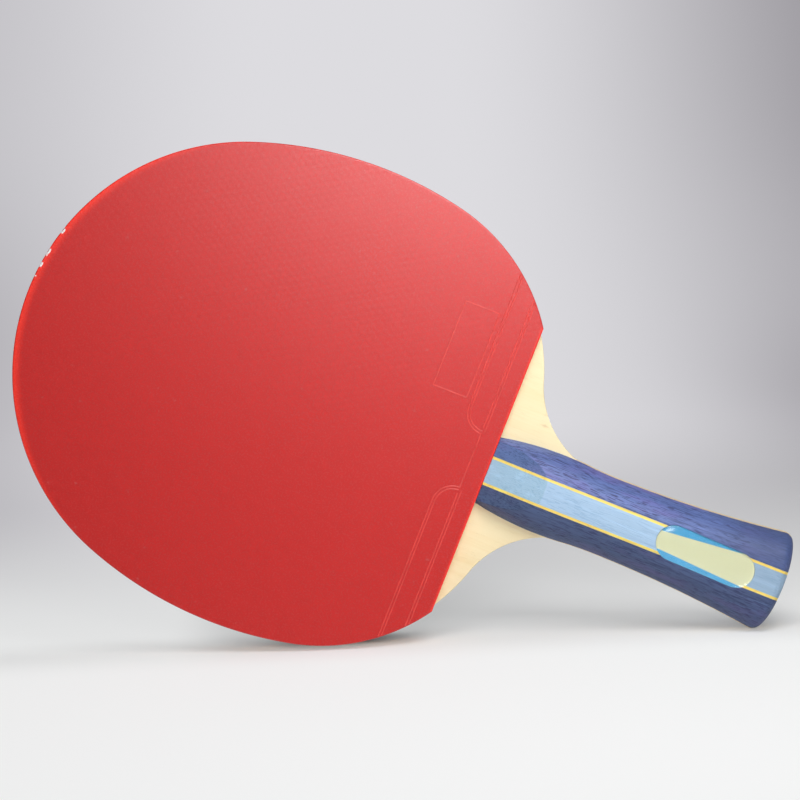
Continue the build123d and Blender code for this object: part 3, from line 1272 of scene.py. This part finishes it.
class PADDLE_OT_stage(bpy.types.Operator):
    """Adds the camera, the pale sweep and the soft lamps"""

    bl_idname = "paddle.stage"
    bl_label = "Stage"

    def execute(self, context):
        looks = context.scene.paddle_stage
        scene = context.scene
        camera_data = bpy.data.cameras.new("camera")
        camera = bpy.data.objects.new("camera", camera_data)
        scene.collection.objects.link(camera)
        turn = Matrix(CAMERA_TURN).transposed().to_4x4()
        camera.matrix_world = Matrix.Translation(CAMERA_PLACE) @ turn
        camera_data.sensor_width = 36
        camera_data.lens = looks.lens
        camera_data.clip_start, camera_data.clip_end = 0.05, 20
        scene.camera = camera
        scene.view_settings.view_transform = "Standard"

        up, reach = resting_plane(looks.lean)
        back = Vector((0, 1, 0))
        back = (back - up * back.dot(up)).normalized()
        across = back.cross(up)
        origin = up * reach
        sweep(looks, origin, across, back, up)

        room = Finish("room", world=True)
        ray = room.node("ShaderNodeLightPath", output="Is Camera Ray")
        sky = room.node(
            "ShaderNodeBackground", inputs={"Color": looks.sky[:], "Strength": looks.sky_strength}
        )
        seen = room.node("ShaderNodeBackground", inputs={"Color": looks.room[:]})
        scene.world = room.done(room.node("ShaderNodeMixShader", inputs={0: ray, 1: sky, 2: seen}))

        for name, (right, front, above, size) in LAMPS.items():
            spot = across * right - back * front + up * above
            lamp(name, spot, size, getattr(looks, name + "_power"))
        return {"FINISHED"}


def lamp(name, spot, size, watts):
    """Square soft lamp that faces the paddle's middle."""
    data = bpy.data.lights.new(name, "AREA")
    data.size = size
    data.energy = watts
    made = bpy.data.objects.new(name, data)
    bpy.context.scene.collection.objects.link(made)
    turn = spot.to_track_quat("Z", "Y").to_matrix().to_4x4()
    made.matrix_world = Matrix.Translation(spot) @ turn
    made.visible_camera = False


def sweep(looks, origin, across, back, up):
    """Floor that curves up into a backdrop, seen only from its upper side."""
    half, flat, radius = 3.0, 0.5, 0.6
    profile = [(depth, 0.0) for depth in (-half, -1.5, -0.6, -0.2, 0.0, 0.2)]
    profile += [
        (flat + radius * math.sin(t), radius * (1 - math.cos(t))) for t in steps(0, math.pi / 2, 24)
    ]
    profile += [(flat + radius, height) for height in (1.2, 2.5)]
    bm = bmesh.new()
    rows = []
    for depth, height in profile:
        row = [origin + across * aside + back * depth + up * height for aside in steps(-half, half, 12)]
        rows.append([bm.verts.new(p) for p in row])
    for low, high in zip(rows, rows[1:]):
        for corners in zip(low, low[1:], high[1:], high):
            bm.faces.new(corners)
    floor = object_of("sweep", bm, outwards=False)
    floor.data.shade_smooth()
    floor.data.materials.append(pale_paper(looks, origin, across, back))


def pale_paper(looks, origin, across, back):
    """Paper under the lamps that partly shines of itself where the camera sees it.

    Places on it are metres to the right of and behind the foot of the paddle's middle.
    """
    finish = Finish("pale paper")
    aside, depth = finish.along(across, origin), finish.along(back, origin)
    # Painted shade: the sweep's own colour darkens behind, towards both sides, most to the right, and in a
    # patch far to the right
    right, left = finish.ramp(aside, *looks.fade_right), finish.ramp(aside, *looks.fade_left)
    nearer = finish.ramp(depth, 0.84, 0.6)
    corner = finish.ramp(aside, 0.1, 0.19) * finish.ramp(abs(depth - 0.44), 0.32, 0.0)
    edges = right - nearer * right * 0.2 + left * (nearer * 0.35 + 0.45) + corner * 0.24
    shade = finish.mix(looks.backdrop[:], looks.backdrop_side_shade[:], edges)
    shade = finish.mix(looks.floor[:], shade, finish.ramp(depth, *looks.fade_back))
    behind, beside = finish.ramp(depth, -0.012, 0.02), finish.ramp(aside, -0.045, -0.08)
    glow = looks.glow_beneath + looks.glow_behind * behind + looks.glow_left * beside
    glow = glow + (looks.glow_front - glow) * finish.ramp(depth, 0.002, -0.038)
    close = finish.ramp(abs(depth - 0.001), 0.01, 0.002)
    rests = finish.ramp(abs(aside + 0.022), 0.03, 0.006)
    glow = glow * (1 - close * rests * looks.contact_shade)
    glow = glow + (1 - glow) * finish.ramp(depth, *looks.shine_back)
    rays = 0.0
    for kind in ("Is Camera Ray", "Is Glossy Ray", "Is Transmission Ray"):
        rays = finish.node("ShaderNodeLightPath", output=kind) + rays
    lit = finish.surface(Base_Color=looks.paper[:], Roughness=0.9)
    shining = finish.node("ShaderNodeEmission", inputs={"Color": shade})
    seen = finish.node("ShaderNodeMixShader", inputs={0: rays * glow, 1: lit, 2: shining})
    away = finish.node("ShaderNodeNewGeometry", output="Backfacing")
    nothing = finish.node("ShaderNodeBsdfTransparent")
    return finish.done(finish.node("ShaderNodeMixShader", inputs={0: away, 1: seen, 2: nothing}))


class PADDLE_PT_sidebar(bpy.types.Panel):
    """Sizes, colours and building steps of the paddle"""

    bl_idname = "PADDLE_PT_sidebar"
    bl_label = "Table tennis paddle"
    bl_space_type = "VIEW_3D"
    bl_region_type = "UI"
    bl_category = "Paddle"

    def draw(self, context):
        for name, _, operators in PARTS:
            settings = getattr(context.scene, name)
            box = self.layout.box()
            for operator in operators:
                box.operator(operator)
            for key in settings.__annotations__:
                box.prop(settings, key)


# Where each group's settings are kept on the scene, the group, and the operators that use it
PARTS = (
    ("paddle_outline", PaddleOutline, ()),
    ("paddle_blade", PaddleBlade, ("paddle.blade",)),
    ("paddle_rubber", PaddleRubber, ("paddle.sponges", "paddle.topsheets")),
    ("paddle_grip", PaddleGrip, ("paddle.grip",)),
    ("paddle_badge", PaddleBadge, ("paddle.badge",)),
    ("paddle_stage", PaddleStage, ("paddle.stage",)),
)
CLASSES = (
    *(group for _, group, _ in PARTS),
    PADDLE_OT_blade,
    PADDLE_OT_sponges,
    PADDLE_OT_topsheets,
    PADDLE_OT_grip,
    PADDLE_OT_badge,
    PADDLE_OT_stage,
    PADDLE_PT_sidebar,
)


def register():
    for cls in CLASSES:
        bpy.utils.register_class(cls)
    for name, group, _ in PARTS:
        setattr(bpy.types.Scene, name, PointerProperty(type=group))


def unregister():
    for name, _, _ in PARTS:
        delattr(bpy.types.Scene, name)
    for cls in reversed(CLASSES):
        bpy.utils.unregister_class(cls)


def main():
    register()
    bpy.ops.paddle.blade()
    bpy.ops.paddle.sponges()
    bpy.ops.paddle.topsheets()
    bpy.ops.paddle.grip()
    bpy.ops.paddle.badge()
    bpy.ops.paddle.stage()


if __name__ == "__main__":
    main()
